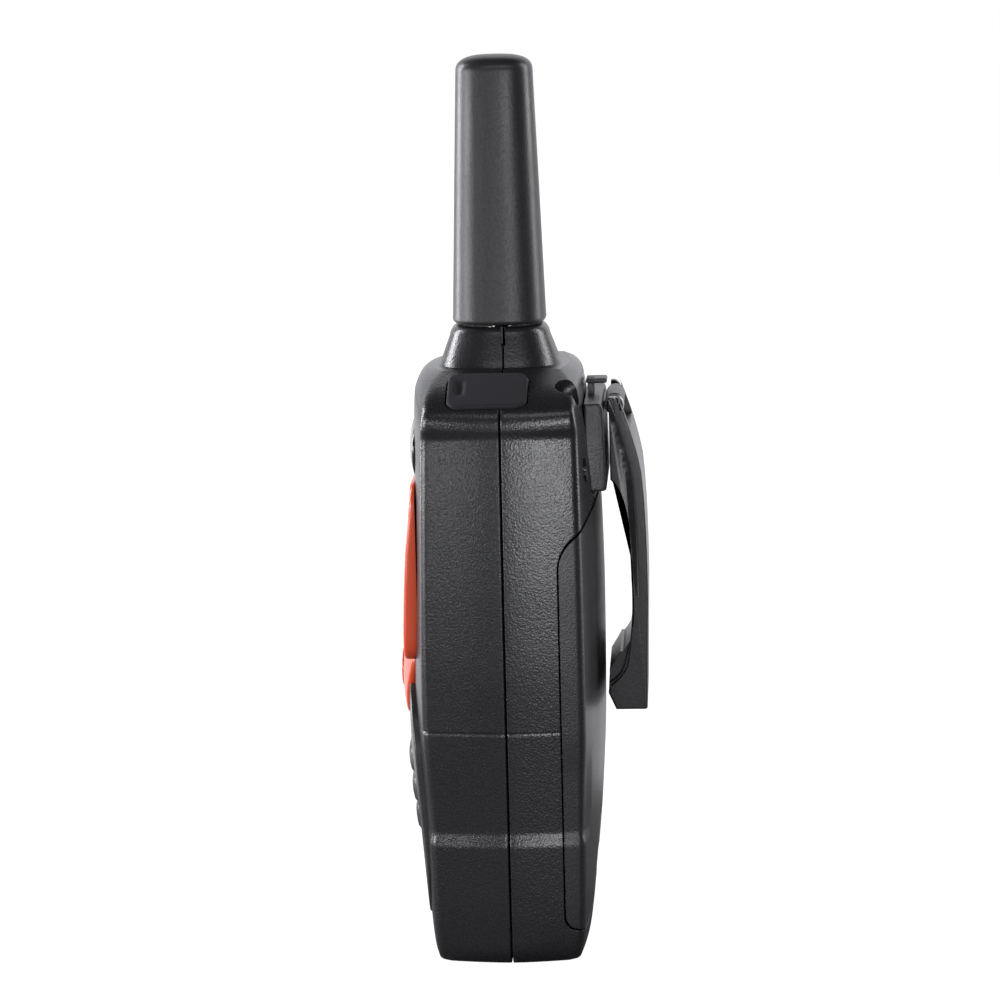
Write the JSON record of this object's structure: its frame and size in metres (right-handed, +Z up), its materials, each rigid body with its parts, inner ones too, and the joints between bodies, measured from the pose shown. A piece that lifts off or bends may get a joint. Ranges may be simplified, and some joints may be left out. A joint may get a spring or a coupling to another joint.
{
  "type": "two-way radio",
  "caption": "Handheld two-way radio with a stub aerial, framed display, select pad, speaker bars, battery door and a sprung belt clip.",
  "frame": {"origin": "middle of the whole radio's width and depth, at the height of its flat base", "axes": "+Z up along the aerial, the display faces -Y, the belt clip is on +Y, the talk button is on the -X side"},
  "size_m": [0.0589, 0.0466, 0.1649],
  "materials": {
    "housing_black": "fine moulded pebble grain",
    "clip_black": "semi-gloss moulded plastic",
    "aerial_rubber": "fine matte grain",
    "soft_rubber": "smooth matte rubber",
    "orange_plastic": "satin moulded plastic",
    "fascia_dark": "smooth gloss",
    "clear_lens": "clear polished plastic",
    "screen_glass": "smooth grey-green screen",
    "white_plastic": "smooth white plastic",
    "board_green": "solder-mask sheen",
    "speaker_cloth": "fine woven cloth",
    "speaker_paper": "pressed paper",
    "steel": "zinc-plated steel",
    "nickel": "nickel plate",
    "copper_wire": "bare copper wire",
    "cell_sleeve": "satin printed sleeve"
  },
  "bodies": {
    "housing": {"front_housing": "housing_black", "rear_housing": "housing_black", "lower_panel": "housing_black", "battery_door": "housing_black", "display_frame": "orange_plastic", "display_lens": "clear_lens", "front_fascia": "fascia_dark", "aerial_sheath": "aerial_rubber", "housing_gasket": "soft_rubber", "lcd_module": "screen_glass", "backlight_tray": "white_plastic", "status_lamp": "clear_lens", "microphone": "steel", "keypad_membrane": "soft_rubber", "speaker_cloth": "speaker_cloth", "speaker_cone": "speaker_paper", "speaker_frame": "steel", "speaker_magnet": "nickel", "aerial_stud": "nickel", "coil_core": "white_plastic", "aerial_coil": "copper_wire", "main_board": "board_green", "shield_can": "steel", "talk_switch": "steel", "side_board": "board_green", "accessory_jack": "nickel", "charging_socket": "steel", "cell_1": "cell_sleeve", "contact_spring_1": "nickel", "contact_plate_1": "nickel", "cell_2": "cell_sleeve", "contact_spring_2": "nickel", "contact_plate_2": "nickel", "cell_3": "cell_sleeve", "contact_spring_3": "nickel", "contact_plate_3": "nickel", "housing_screw_1": "steel", "housing_screw_2": "steel", "housing_screw_3": "steel", "housing_screw_4": "steel"},
    "clip_carrier": {"clip_carrier": "clip_black", "clip_pin": "steel", "clip_spring": "steel"},
    "belt_clip": {"belt_clip": "clip_black"},
    "talk_button": {"talk_button": "soft_rubber"},
    "call_key": {"call_key": "soft_rubber"},
    "power_key": {"power_key": "soft_rubber"},
    "select_pad": {"select_pad": "orange_plastic"},
    "select_button": {"select_button": "orange_plastic"},
    "jack_cover": {"jack_cover": "soft_rubber"},
    "door_latch": {"door_latch": "housing_black"}
  },
  "joints": [
    {"name": "clip_slide", "type": "slide", "parent": "housing", "child": "clip_carrier", "axis": [0, 0, 1], "range_m": [0, 0.013]},
    {"name": "clip_pivot", "type": "hinge", "parent": "clip_carrier", "child": "belt_clip", "pos_m": [0, 0.0176, 0.1012], "axis": [1, 0, 0], "range_deg": [0, 15], "stiffness_Nm_per_rad": 1.2, "springref_deg": -14.32},
    {"name": "talk_press", "type": "slide", "parent": "housing", "child": "talk_button", "axis": [1, 0, 0], "range_m": [0, 0.0008], "stiffness_N_per_m": 1500, "springref_m": -0.0007},
    {"name": "call_press", "type": "slide", "parent": "housing", "child": "call_key", "axis": [1, 0, 0], "range_m": [0, 0.0008], "stiffness_N_per_m": 1500, "springref_m": -0.0005},
    {"name": "power_press", "type": "slide", "parent": "housing", "child": "power_key", "axis": [1, 0, 0], "range_m": [0, 0.0008], "stiffness_N_per_m": 1500, "springref_m": -0.0005},
    {"name": "select_rock", "type": "hinge", "parent": "housing", "child": "select_pad", "pos_m": [0, -0.0175, 0.0505], "axis": [1, 0, 0], "range_deg": [-3, 3], "stiffness_Nm_per_rad": 0.06},
    {"name": "select_press", "type": "slide", "parent": "select_pad", "child": "select_button", "axis": [0, 1, 0], "range_m": [0, 0.0006], "stiffness_N_per_m": 1200, "springref_m": -0.0004},
    {"name": "jack_cover_hinge", "type": "hinge", "parent": "housing", "child": "jack_cover", "pos_m": [0.0215, 0.0023, 0.10636], "axis": [-0.91, 0, 0.4147], "range_deg": [0, 105]},
    {"name": "latch_slide", "type": "slide", "parent": "housing", "child": "door_latch", "axis": [0, 0, 1], "range_m": [0, 0.0016], "stiffness_N_per_m": 400, "springref_m": -0.002}
  ]
}
